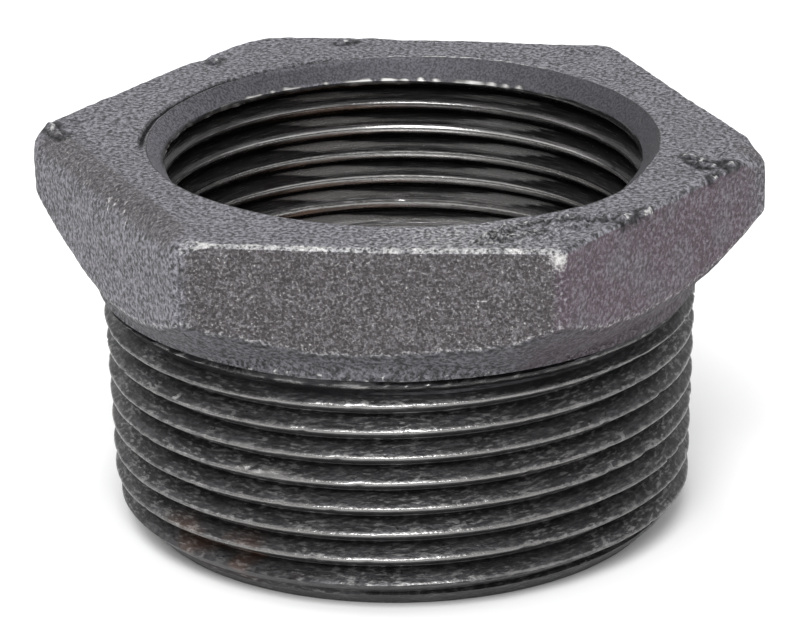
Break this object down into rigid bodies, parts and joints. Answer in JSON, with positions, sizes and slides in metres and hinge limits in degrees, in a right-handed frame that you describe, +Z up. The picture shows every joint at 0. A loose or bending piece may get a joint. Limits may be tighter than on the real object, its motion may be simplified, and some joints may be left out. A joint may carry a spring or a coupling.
{
  "type": "hex reducing bushing",
  "caption": "Cast iron hex reducing bushing with a taper pipe thread outside and a threaded through bore.",
  "frame": {"origin": "centre of the shank's end face, on the thread axis, where the part stands", "axes": "+Z up the thread axis towards the hexagonal head; +X towards a corner of the hexagon"},
  "size_m": [0.0592, 0.0514, 0.0317],
  "materials": {
    "cast_iron": "black heat-treated casting, satin, with bare worn edges"
  },
  "bodies": {
    "root": {"hex_bushing": "cast_iron"}
  },
  "joints": []
}
